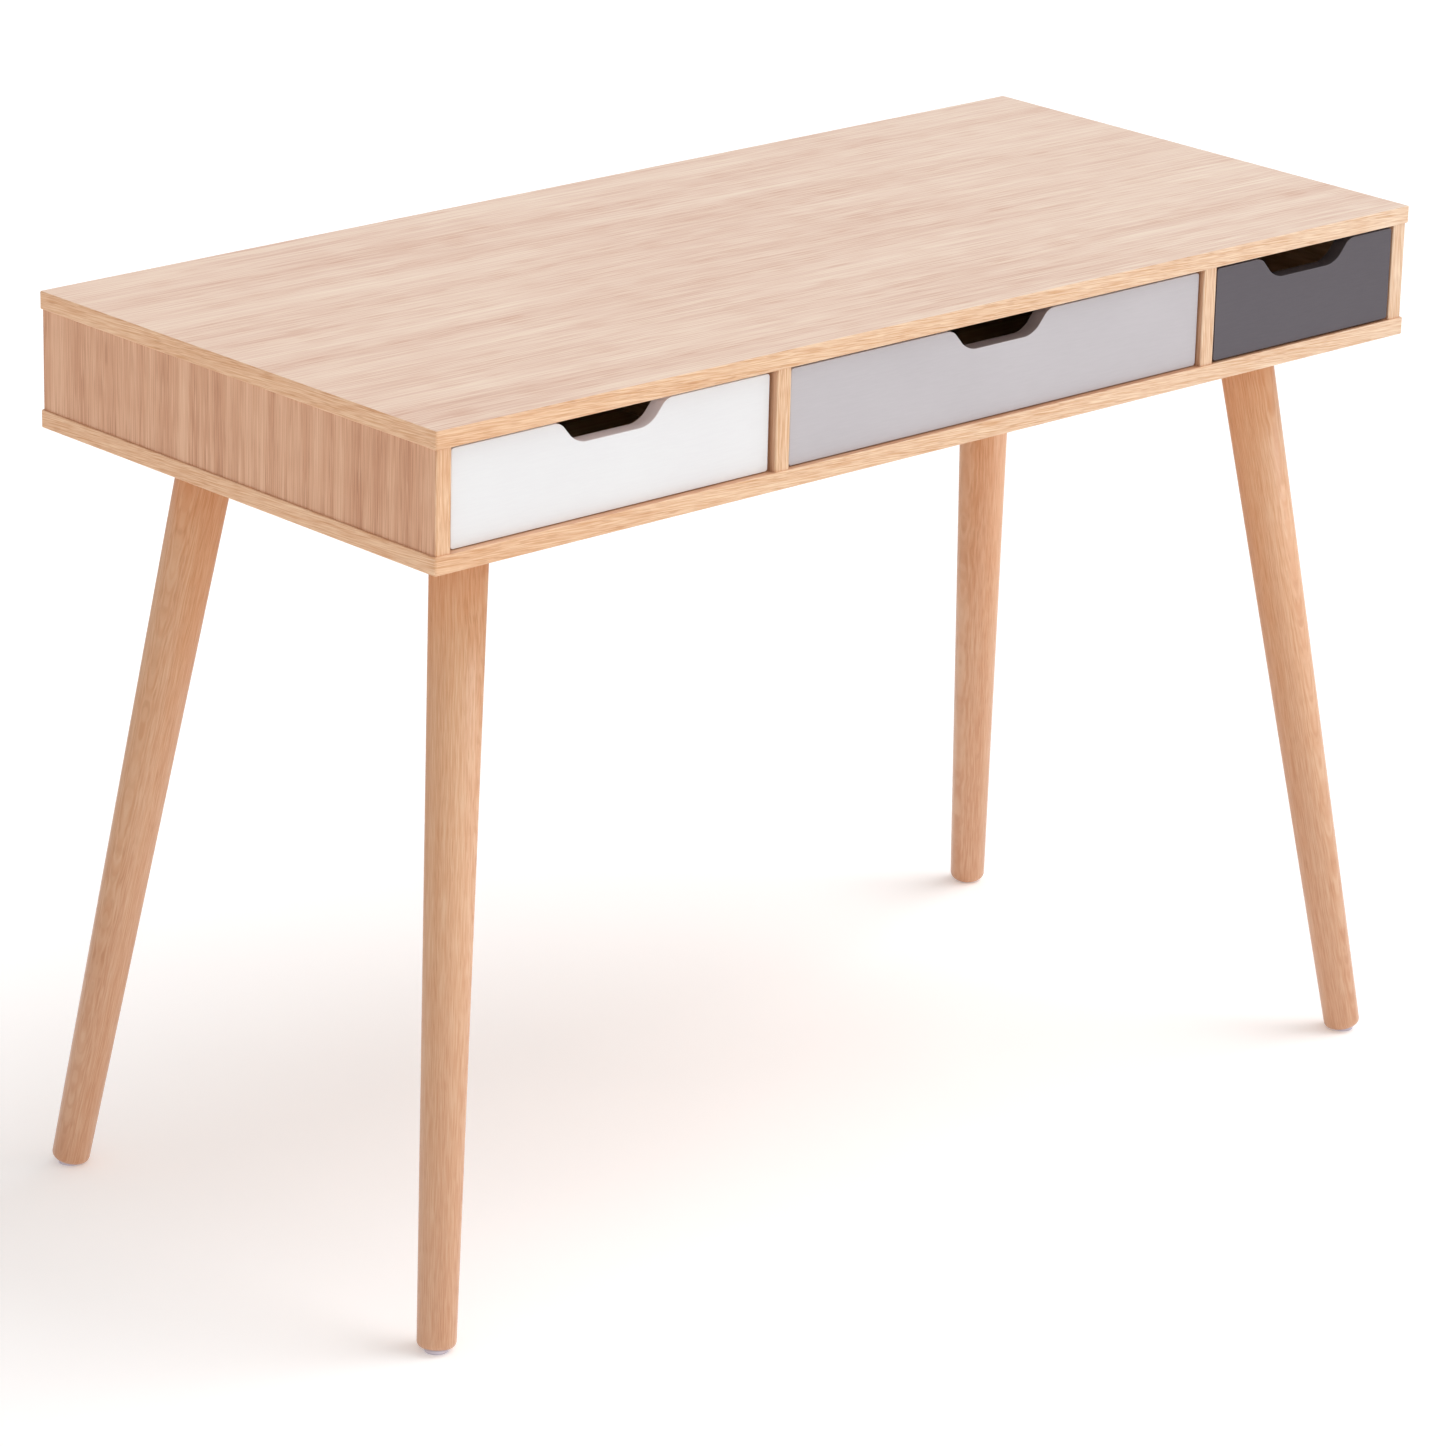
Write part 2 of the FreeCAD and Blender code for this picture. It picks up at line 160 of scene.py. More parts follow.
class Recipe:
    """Lays out the shader nodes of one material."""

    def __init__(self, name: str) -> None:
        """Start a material with an empty recipe.

        Args:
            name: Name of the material.
        """
        self.material = bpy.data.materials.new(name)
        self.material.use_nodes = True
        self.nodes = self.material.node_tree.nodes
        self.links = self.material.node_tree.links
        self.shader = self.nodes["Principled BSDF"]

    def node(self, kind: str, **settings: object) -> bpy.types.Node:
        """Add a node.

        Args:
            kind: Node type after "ShaderNode".
            settings: Attributes to set on it.

        Returns:
            The new node.
        """
        made = self.nodes.new("ShaderNode" + kind)
        for key, value in settings.items():
            setattr(made, key, value)
        return made

    def feed(self, socket: Socket, value: object) -> None:
        """Link a socket to another, or set its own value.

        Args:
            socket: The input socket.
            value: An output socket, a number or a row of numbers.
        """
        if isinstance(value, bpy.types.NodeSocket):
            self.links.new(value, socket)
        else:
            socket.default_value = value

    def shade(self, inputs: dict[str, object]) -> None:
        """Feed the shader's inputs.

        Args:
            inputs: A socket, a number or a colour for each named input.
        """
        for name, value in inputs.items():
            self.feed(self.shader.inputs[name], value)

    def place(self) -> Socket:
        """Object coordinates, in metres."""
        return self.node("TexCoord").outputs["Object"]

    def attribute(self, name: str, output: str = "Vector") -> Socket:
        """Read one of the piece's own attributes."""
        return self.node("Attribute", attribute_name=name).outputs[output]

    def vector(self, operation: str, first: object, second: object) -> Socket:
        """Vector arithmetic.

        Args:
            operation: Blender's name of the operation.
            first: First vector or socket.
            second: Second vector or socket.

        Returns:
            The vector result.
        """
        made = self.node("VectorMath", operation=operation)
        self.feed(made.inputs[0], first)
        self.feed(made.inputs[1], second)
        return made.outputs["Vector"]

    def math(self, operation: str, first: object, second: object = 0.0) -> Socket:
        """Arithmetic on numbers.

        Args:
            operation: Blender's name of the operation.
            first: First number or socket.
            second: Second number or socket.

        Returns:
            The result.
        """
        made = self.node("Math", operation=operation)
        self.feed(made.inputs[0], first)
        self.feed(made.inputs[1], second)
        return made.outputs["Value"]

    def noise(self, place: Socket, detail: float = 2.0, roughness: float = 0.5, scale: float = 1.0,
              colour: bool = False) -> Socket:
        """Fractal noise.

        Args:
            place: Where on the piece.
            detail: Octaves of finer noise.
            roughness: Strength of the finer noise.
            scale: Blotches per unit of place.
            colour: Whether three independent noises come out.

        Returns:
            The noise, about one half on average.
        """
        made = self.node("TexNoise")
        self.feed(made.inputs["Vector"], place)
        made.inputs["Scale"].default_value = scale
        made.inputs["Detail"].default_value = detail
        made.inputs["Roughness"].default_value = roughness
        return made.outputs["Color" if colour else "Fac"]

    def spread(self, value: Socket, low: float = 0.3, high: float = 0.7, to_low: float = 0.0,
               to_high: float = 1.0, soft: bool = False) -> Socket:
        """Stretch a range of values, by default the one in which a noise mostly lies.

        Args:
            value: The value.
            low: Where the range starts.
            high: Where it ends.
            to_low: What the start becomes.
            to_high: What the end becomes.
            soft: Whether the ends ease in and out.

        Returns:
            The stretched and clamped value.
        """
        made = self.node("MapRange", interpolation_type="SMOOTHSTEP" if soft else "LINEAR")
        self.feed(made.inputs["Value"], value)
        for key, number in (("From Min", low), ("From Max", high), ("To Min", to_low), ("To Max", to_high)):
            made.inputs[key].default_value = number
        return made.outputs["Result"]

    def ramp(self, factor: Socket, stops: Stops) -> Socket:
        """Colours along a factor.

        Args:
            factor: Place on the ramp, from zero to one.
            stops: Positions and display colours, in order.

        Returns:
            The colour.
        """
        made = self.node("ValToRGB")
        set_stops(made, stops)
        self.feed(made.inputs["Fac"], factor)
        return made.outputs["Color"]

    def mix(self, factor: object, first: object, second: object, blend: str = "MIX") -> Socket:
        """Mix two colours.

        Args:
            factor: Share of the second colour.
            first: First colour or socket.
            second: Second colour or socket.
            blend: Blender's name of the blend.

        Returns:
            The mixed colour.
        """
        made = self.node("Mix", data_type="RGBA", blend_type=blend)
        self.feed(made.inputs[0], factor)
        self.feed(made.inputs[6], first)
        self.feed(made.inputs[7], second)
        return made.outputs[2]

    def relief(self, height: Socket, strength: float, depth: float) -> None:
        """Raise the surface by a height.

        Args:
            height: Height from zero to one.
            strength: Share of the effect.
            depth: Height of one, in metres.
        """
        made = self.node("Bump")
        made.inputs["Strength"].default_value = strength
        made.inputs["Distance"].default_value = depth
        self.feed(made.inputs["Height"], height)
        self.shade({"Normal": made.outputs["Normal"]})


@dataclass(frozen=True)
class WoodFinish:
    """Oak or beech, as a foil, a band or solid timber, drawn from the grain attribute."""

    name: str
    deep: Colour
    body: Colour
    pale: Colour
    pore: Colour
    streak_length: float = 0.45
    streak_width: float = 0.030
    line_length: float = 0.16
    line_width: float = 0.0030
    pore_length: float = 0.016
    pore_width: float = 0.0011
    sway: float = 0.006
    sway_rate: float = 2.5
    lean: float = 0.02
    slant: float = 0.0
    streak_share: float = 0.45
    line_share: float = 0.40
    pore_share: float = 0.35
    ray_share: float = 0.35
    rim_lift: float = 0.25
    roughness: float = 0.46
    specular: float = 0.5
    coat: float = 0.0
    coat_roughness: float = 0.25
    relief_depth: float = 0.00012
    # Painted light: a multiply ramp along one axis that darkens one end of the desk, standing in for the
    # light that falls on the other end.
    painted_light_axis: str = "X"
    painted_light_span: tuple[float, float] = (-0.55, 0.55)
    painted_light_stops: Stops = ()

    def build(self) -> bpy.types.Material:
        """Make the material.

        Returns:
            The finished wood.
        """
        recipe = Recipe(self.name)
        along, ring = self._timber(recipe)
        streak = recipe.spread(
            self._fibres(recipe, along, ring, self.streak_length, self.streak_width, 4.0, 0.6), 0.32, 0.68)
        line = recipe.spread(
            self._fibres(recipe, along, ring, self.line_length, self.line_width, 1.0), 0.34, 0.66)
        pore = self._fibres(recipe, along, ring, self.pore_length, self.pore_width, 0.0)
        crowd = recipe.spread(streak, 0.75, 0.15, 0.35, 1.0)
        pits = recipe.math("MULTIPLY", recipe.spread(pore, 0.54, 0.68, soft=True), crowd)

        colour = self._tone(recipe, streak, line)
        colour = recipe.mix(recipe.math("MULTIPLY", pits, self.pore_share), colour, linear(self.pore))
        colour = recipe.mix(self._rays(recipe, along, ring), colour, linear(self.pale))
        colour = recipe.mix(self._paler_rims(recipe, line), colour, linear(self.pale))
        # Painted light: darken one end of the desk, where less light falls.
        if self.painted_light_stops:
            colour = recipe.mix(1.0, colour, self._painted_light_ramp(recipe), "MULTIPLY")

        gloss = recipe.spread(line, 0.0, 1.0, self.roughness - 0.04, self.roughness + 0.05)
        recipe.shade({
            "Base Color": colour,
            "Roughness": recipe.math("ADD", gloss, recipe.math("MULTIPLY", pits, 0.12)),
            "Specular IOR Level": self.specular,
            "Coat Weight": self.coat,
            "Coat Roughness": self.coat_roughness,
        })
        height = recipe.math("SUBTRACT", recipe.math("MULTIPLY", line, 0.45),
                             recipe.math("MULTIPLY", pits, 0.8))
        recipe.relief(height, 0.35, self.relief_depth)
        return recipe.material

    def _timber(self, recipe: Recipe) -> tuple[Socket, Socket]:
        """Place in the timber that the board was cut from, with the grain's sway.

        Args:
            recipe: The recipe it is added to.

        Returns:
            Distance along the grain, and distance from the heart of the timber.
        """
        grain = recipe.attribute(GRAIN)
        drift = recipe.noise(recipe.vector("MULTIPLY", grain, (self.sway_rate, 7.0, 7.0)), colour=True)
        drift = recipe.vector("SUBTRACT", drift, (0.5, 0.5, 0.5))
        bent = recipe.vector("ADD", grain, recipe.vector("MULTIPLY", drift, (0.0, self.sway, self.sway)))
        parts = recipe.node("SeparateXYZ")
        recipe.feed(parts.inputs[0], bent)
        along = parts.outputs["X"]
        across = recipe.math("ADD", parts.outputs["Y"], recipe.math("MULTIPLY", along, self.slant))
        through = recipe.math("ADD", parts.outputs["Z"], recipe.math("MULTIPLY", along, self.lean))
        squares = (recipe.math("MULTIPLY", part, part) for part in (across, through))
        return along, recipe.math("SQRT", recipe.math("ADD", *squares))

    def _tone(self, recipe: Recipe, streak: Socket, line: Socket) -> Socket:
        """Ground colour of the wood.

        Args:
            recipe: The recipe it is added to.
            streak: The broad streaks.
            line: The fine lines.

        Returns:
            The colour.
        """
        grain = recipe.attribute(GRAIN)
        cloud = recipe.noise(recipe.vector("MULTIPLY", grain, (3.2, 11.0, 11.0)), 3.0, 0.55)
        tone = recipe.math("ADD", recipe.math("MULTIPLY", streak, self.streak_share),
                           recipe.math("MULTIPLY", line, self.line_share))
        rest = max(0.0, 1.0 - self.streak_share - self.line_share)
        tone = recipe.math("ADD", tone, recipe.math("MULTIPLY", recipe.spread(cloud), rest))
        return recipe.ramp(tone, ((0.12, self.deep), (0.50, self.body), (0.88, self.pale)))

    def _rays(self, recipe: Recipe, along: Socket, ring: Socket) -> Socket:
        """Share of the short pale flecks.

        Args:
            recipe: The recipe it is added to.
            along: Distance along the grain.
            ring: Distance from the heart of the timber.

        Returns:
            The share.
        """
        flecks = self._fibres(recipe, recipe.math("ADD", along, 0.37), ring, self.pore_length * 1.4,
                              self.pore_width * 1.2, 0.0)
        return recipe.spread(flecks, 0.56, 0.70, 0.0, self.ray_share, soft=True)

    def _paler_rims(self, recipe: Recipe, line: Socket) -> Socket:
        """Share by which the rounded edges are paler.

        Args:
            recipe: The recipe it is added to.
            line: The fine lines, along which the paleness varies.

        Returns:
            The share.
        """
        return recipe.math("MULTIPLY", recipe.attribute(RIM, "Fac"),
                           recipe.spread(line, 0.0, 1.0, self.rim_lift * 0.5, self.rim_lift))

    def _painted_light_ramp(self, recipe: Recipe) -> Socket:
        """Painted light: a slow change of tone from one end of the desk to the other, darker where less
        light falls.

        Args:
            recipe: The recipe it is added to.

        Returns:
            The painted light ramp.
        """
        parts = recipe.node("SeparateXYZ")
        recipe.feed(parts.inputs[0], recipe.place())
        return recipe.ramp(recipe.spread(parts.outputs[self.painted_light_axis], *self.painted_light_span), self.painted_light_stops)

    def _fibres(self, recipe: Recipe, along: Socket, ring: Socket, length: float, width: float,
                detail: float, roughness: float = 0.5) -> Socket:
        """Noise drawn out along the grain.

        Args:
            recipe: The recipe it is added to.
            along: Distance along the grain.
            ring: Distance from the heart of the timber.
            length: Length of a fibre.
            width: Width of a fibre.
            detail: Octaves of finer noise.
            roughness: Strength of the finer noise.

        Returns:
            The noise.
        """
        place = recipe.node("CombineXYZ")
        recipe.feed(place.inputs["X"], recipe.math("DIVIDE", along, length))
        recipe.feed(place.inputs["Y"], recipe.math("DIVIDE", ring, width))
        return recipe.noise(place.outputs["Vector"], detail, roughness)


@dataclass(frozen=True)
class PaintFinish:
    """Sprayed satin lacquer on fibreboard, with painted shade on the sides of the finger notch and painted
    highlights along the rounded edges.
    """

    name: str
    colour: Colour
    shade: Colour
    # Painted highlight: the paler colour mixed in along the rounded edges.
    rim: Colour
    # Painted shade: the darker colour of the notch's side faces stands in for the shade in the finger
    # notch.
    notch_shade: Colour
    roughness: float = 0.42
    specular: float = 0.4
    rim_highlight_share: float = 0.5

    def build(self) -> bpy.types.Material:
        """Make the material.

        Returns:
            The finished paint.
        """
        recipe = Recipe(self.name)
        place = recipe.place()
        cloud = recipe.noise(place, 3.0, 0.5, 9.0)
        brushed = recipe.noise(recipe.vector("MULTIPLY", place, (60.0, 60.0, 900.0)), 2.0, 0.6)
        peel = recipe.noise(place, 2.0, 0.5, 750.0)
        tone = recipe.math("ADD", recipe.spread(cloud, to_high=0.55), recipe.spread(brushed, to_high=0.45))
        colour = recipe.ramp(tone, ((0.0, self.shade), (1.0, self.colour)))
        # Painted shade on the sides of the finger notch.
        colour = recipe.mix(recipe.attribute(NOTCH_SHADE_MASK, "Fac"), colour, linear(self.notch_shade))
        # Painted highlight: the rounded edges are mixed unevenly towards the paler rim colour.
        rim_highlight_mask = recipe.math("MULTIPLY", recipe.attribute(RIM, "Fac"),
                             recipe.spread(cloud, 0.35, 0.65, 0.3, 1.0))
        colour = recipe.mix(recipe.math("MULTIPLY", rim_highlight_mask, self.rim_highlight_share), colour, linear(self.rim))
        recipe.shade({
            "Base Color": colour,
            "Roughness": recipe.spread(peel, to_low=self.roughness - 0.04, to_high=self.roughness + 0.05),
            "Specular IOR Level": self.specular,
        })
        height = recipe.math("ADD", recipe.math("MULTIPLY", peel, 0.6),
                             recipe.math("MULTIPLY", brushed, 0.4))
        recipe.relief(height, 0.25, 0.00006)
        return recipe.material


@dataclass(frozen=True)
class PlasticFinish:
    """Moulded plastic with a fine grain."""

    name: str
    colour: Colour
    shade: Colour
    roughness: float = 0.45
    grain_scale: float = 1400.0

    def build(self) -> bpy.types.Material:
        """Make the material.

        Returns:
            The finished plastic.
        """
        recipe = Recipe(self.name)
        place = recipe.place()
        flow = recipe.noise(place, 3.0, 0.55, 60.0)
        grain = recipe.noise(place, 2.0, 0.6, self.grain_scale)
        recipe.shade({
            "Base Color": recipe.ramp(recipe.spread(flow), ((0.0, self.shade), (1.0, self.colour))),
            "Roughness": recipe.spread(grain, to_low=self.roughness - 0.07, to_high=self.roughness + 0.08),
        })
        recipe.relief(grain, 0.3, 0.00005)
        return recipe.material


@dataclass(frozen=True)
class MetalFinish:
    """Plated steel or zinc with handling marks."""

    name: str
    colour: Colour
    shade: Colour
    roughness: float = 0.32

    def build(self) -> bpy.types.Material:
        """Make the material.

        Returns:
            The finished metal.
        """
        recipe = Recipe(self.name)
        place = recipe.place()
        cloud = recipe.noise(place, 3.0, 0.6, 220.0)
        scratch = recipe.noise(recipe.vector("MULTIPLY", place, (300.0, 1500.0, 2600.0)), 2.0, 0.6)
        recipe.shade({
            "Base Color": recipe.ramp(recipe.spread(cloud), ((0.0, self.shade), (1.0, self.colour))),
            "Roughness": recipe.spread(scratch, to_low=self.roughness - 0.08,
                                       to_high=self.roughness + 0.14),
            "Metallic": 1.0,
        })
        recipe.relief(scratch, 0.25, 0.00004)
        return recipe.material


# The last ramp of the worktop, edge band and legs is painted light: darker towards the left end and down
# the legs, paler where more light falls.
FINISHES: dict[Slot, WoodFinish | PaintFinish | PlasticFinish | MetalFinish] = {
    Slot.OAK_TOP: WoodFinish(
        "oak_foil_top", deep=(220, 181, 158), body=(236, 207, 187), pale=(249, 230, 209),
        pore=(205, 154, 127), streak_length=0.80, streak_width=0.026, line_length=0.16,
        line_width=0.0011, pore_length=0.040, pore_width=0.0008, pore_share=0.46, ray_share=0.45,
        lean=0.012, slant=0.012, roughness=0.36, streak_share=0.38, line_share=0.48,
        painted_light_stops=((0.0, (253, 249, 247)), (1.0, (255, 255, 255)))),
    Slot.OAK_EDGE: WoodFinish(
        "oak_edge_band", deep=(212, 166, 125), body=(226, 191, 160), pale=(241, 216, 189),
        pore=(189, 139, 101), streak_length=0.16, streak_width=0.006, line_length=0.034,
        line_width=0.0009, pore_length=0.014, pore_width=0.0007, pore_share=0.5, sway=0.0014,
        sway_rate=22.0, slant=0.06, streak_share=0.25, line_share=0.60,
        painted_light_stops=((0.0, (254, 238, 222)), (0.32, (255, 247, 237)), (0.77, (255, 251, 247)),
               (1.0, (255, 255, 255)))),
    Slot.OAK_CASE: WoodFinish(
        "oak_foil_case", deep=(182, 121, 84), body=(210, 157, 121), pale=(232, 188, 154),
        pore=(164, 108, 76), streak_length=0.90, streak_width=0.020, line_length=0.16,
        line_width=0.0008, pore_length=0.030, pore_width=0.0006, pore_share=0.52, lean=0.03,
        ray_share=0.50, sway=0.004, slant=0.02, streak_share=0.44, line_share=0.40),
    Slot.LEG_WOOD: WoodFinish(
        "leg_timber", deep=(225, 170, 125), body=(236, 188, 147), pale=(246, 208, 170),
        pore=(206, 149, 104), streak_length=0.40, streak_width=0.007, line_length=0.030,
        line_width=0.0008, pore_length=0.012, pore_width=0.0006, sway=0.0016, sway_rate=30.0, lean=0.01,
        pore_share=0.35, line_share=0.50, streak_share=0.32, roughness=0.38, coat=0.35, painted_light_axis="Z",
        painted_light_span=(0.0, 0.65),
        painted_light_stops=((0.0, (219, 206, 203)), (0.31, (225, 214, 211)), (0.70, (243, 236, 233)),
               (0.92, (255, 255, 255)))),
    Slot.DOWEL_WOOD: WoodFinish(
        "beech_dowel", deep=(205, 172, 130), body=(220, 190, 150), pale=(232, 206, 170),
        pore=(180, 146, 108), pore_share=0.2),
    Slot.BOX_WOOD: WoodFinish(
        "box_board", deep=(200, 160, 122), body=(218, 180, 142), pale=(232, 200, 166),
        pore=(176, 132, 94), streak_width=0.014, line_width=0.0014, pore_share=0.3),
    Slot.BOX_BOTTOM: WoodFinish(
        "box_bottom_board", deep=(210, 176, 142), body=(222, 192, 160), pale=(232, 208, 178),
        pore=(192, 156, 122), streak_width=0.03, pore_share=0.2, roughness=0.55),
    Slot.WHITE_PAINT: PaintFinish(
        "white_lacquer", colour=(231, 231, 231), shade=(227, 226, 227), rim=(244, 243, 243),
        notch_shade=(234, 226, 229)),
    Slot.GREY_PAINT: PaintFinish(
        "grey_lacquer", colour=(192, 187, 190), shade=(185, 180, 183), rim=(212, 208, 210),
        notch_shade=(134, 122, 122)),
    Slot.DARK_PAINT: PaintFinish(
        "dark_lacquer", colour=(88, 82, 88), shade=(80, 74, 80), rim=(128, 122, 128), notch_shade=(56, 51, 54)),
    Slot.GLIDE_PLASTIC: PlasticFinish(
        "glide_nylon", colour=(214, 206, 216), shade=(200, 192, 204)),
    Slot.RUNNER_PLASTIC: PlasticFinish(
        "runner_nylon", colour=(226, 224, 218), shade=(214, 212, 206)),
    Slot.SCREW_STEEL: MetalFinish(
        "screw_zinc_plate", colour=(205, 204, 200), shade=(176, 176, 174)),
    Slot.CAM_METAL: MetalFinish(
        "cam_zinc_casting", colour=(186, 186, 188), shade=(150, 150, 154), roughness=0.42),
}


class Palette:
    """Every finish of the desk, each made once."""

    def __init__(self) -> None:
        """Make the materials."""
        self.materials = {slot: finish.build() for slot, finish in FINISHES.items()}

    def of(self, slot: Slot) -> bpy.types.Material:
        """The material of a slot."""
        return self.materials[slot]


@dataclass
class GrainFrame:
    """Where the grain pattern lies in a piece: along the grain, across it and through it."""

    rows: tuple[Vector, Vector, Vector]
    origin: Vector
    heart: tuple[float, float]
    shift: float

    @classmethod
    def board(cls, run: Run, heart: tuple[float, float], shift: float) -> "GrainFrame":
        """Grain of a board cut square to the frame.

        Args:
            run: Which way the grain runs.
            heart: Where the heart of the timber lies, across and through.
            shift: Distance along the timber.

        Returns:
            The grain frame.
        """
        axes = Matrix.Identity(3)
        along, across, through = (axes[index].copy() for index in run.value)
        return cls((along, across, through), Vector((0.0, 0.0, 0.0)), heart, shift)

    def at(self, point: Vector) -> Vector:
        """Grain coordinates of a point.

        Args:
            point: The point, in the frame.

        Returns:
            Distance along the grain, and across and through from the heart.
        """
        local = point - self.origin
        along, across, through = (row.dot(local) for row in self.rows)
        return Vector((along + self.shift, across - self.heart[0], through - self.heart[1]))

    def write(self, shape: bmesh.types.BMesh) -> None:
        """Write the grain coordinates on a shape.

        Args:
            shape: The finished shape.
        """
        layer = shape.loops.layers.float_vector.get(GRAIN) or shape.loops.layers.float_vector.new(GRAIN)
        for face in shape.faces:
            for loop in face.loops:
                loop[layer] = self.at(loop.vert.co)


def block(low: Vector, high: Vector) -> bmesh.types.BMesh:
    """A rectangular blank between two corners.

    Args:
        low: Lowest corner.
        high: Highest corner.

    Returns:
        The blank.
    """
    shape = bmesh.new()
    bmesh.ops.create_cube(shape, size=1.0)
    bmesh.ops.scale(shape, vec=high - low, verts=shape.verts)
    bmesh.ops.translate(shape, vec=(low + high) / 2, verts=shape.verts)
    return shape


def round_edges(shape: bmesh.types.BMesh, edges: list[bmesh.types.BMEdge], radius: float, segments: int,
                rim: bool = True) -> None:
    """Round some edges of a shape.

    Args:
        shape: The shape.
        edges: The edges.
        radius: Distance that the rounding takes from each side.
        segments: Facets across the rounding.
        rim: Whether the rounding is marked as a rim, which the finishes make paler.
    """
    made = bmesh.ops.bevel(shape, geom=edges, offset=radius, offset_type="OFFSET", segments=segments,
                           profile=0.5, affect="EDGES", clamp_overlap=True, material=-1)
    layer = shape.loops.layers.float.get(RIM) or shape.loops.layers.float.new(RIM)
    for face in made["faces"]:
        face.smooth = True
        for loop in face.loops:
            loop[layer] = 1.0 if rim else 0.0


def edges_along(shape: bmesh.types.BMesh, axis: int) -> list[bmesh.types.BMEdge]:
    """Edges of a shape that run along an axis.

    Args:
        shape: The shape.
        axis: Number of the axis.

    Returns:
        The edges.
    """
    found = []
    for edge in shape.edges:
        run = edge.verts[1].co - edge.verts[0].co
        if abs(run[axis]) > ALONG * run.length:
            found.append(edge)
    return found


def edges_in_plane(shape: bmesh.types.BMesh, axis: int, value: float) -> list[bmesh.types.BMEdge]:
    """Edges of a shape that lie at one value of an axis."""
    return [edge for edge in shape.edges
            if all(abs(vert.co[axis] - value) < PLANE_TOLERANCE for vert in edge.verts)]


def saw_off(shape: bmesh.types.BMesh, place: Vector, outward: Vector) -> None:
    """Saw off a shape at a plane and close the opening.

    Args:
        shape: The shape.
        place: A point of the plane.
        outward: Direction of the side that falls away.
    """
    bmesh.ops.bisect_plane(shape, geom=[*shape.verts, *shape.edges, *shape.faces], plane_co=place,
                           plane_no=outward, clear_outer=True)
    bmesh.ops.edgeloop_fill(shape, edges=[edge for edge in shape.edges if edge.is_boundary])


def stand(name: str, shape: bmesh.types.BMesh, material: bpy.types.Material) -> bpy.types.Object:
    """Put a finished shape in the scene.

    Args:
        name: Name of the object.
        shape: The finished shape, which is freed.
        material: Its material.

    Returns:
        The object.
    """
    mesh = bpy.data.meshes.new(name)
    shape.to_mesh(mesh)
    shape.free()
    mesh.materials.append(material)
    made = bpy.data.objects.new(name, mesh)
    bpy.context.scene.collection.objects.link(made)
    return made


def machined(node: str, arris: float) -> bmesh.types.BMesh:
    """Copy a drilled or grooved CAD part and break its sharp edges.

    Args:
        node: Name of the CAD node.
        arris: Width of the broken edges.

    Returns:
        The merged and eased shape.
    """
    shape = bmesh.new()
    shape.from_mesh(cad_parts[node].data)
    bmesh.ops.remove_doubles(shape, verts=shape.verts, dist=MERGE_DISTANCE)
    bmesh.ops.dissolve_limit(shape, angle_limit=COPLANAR, verts=shape.verts, edges=shape.edges)
    sharp = [edge for edge in shape.edges if len(edge.link_faces) == 2 and edge.calc_face_angle() > SHARP]
    for face in shape.faces:
        face.smooth = False
    round_edges(shape, sharp, arris, 1)
    return shape


@dataclass
class Piece:
    """One finished piece of the desk and the CAD node that it stands for."""

    name: str
    node: str
    body: str
    slot: Slot

    def make(self, shape: bmesh.types.BMesh, palette: Palette) -> None:
        """Turn a shape into a piece that rides on its body.

        Args:
            shape: The finished shape, which is freed.
            palette: The finishes.
        """
        made = stand(self.name, shape, palette.of(self.slot))
        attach(made, self.body)
        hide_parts(self.node)
        faces = len(made.data.polygons)
        log.info("%s: %d faces, stands for %s on %s", self.name, faces, self.node, self.body)


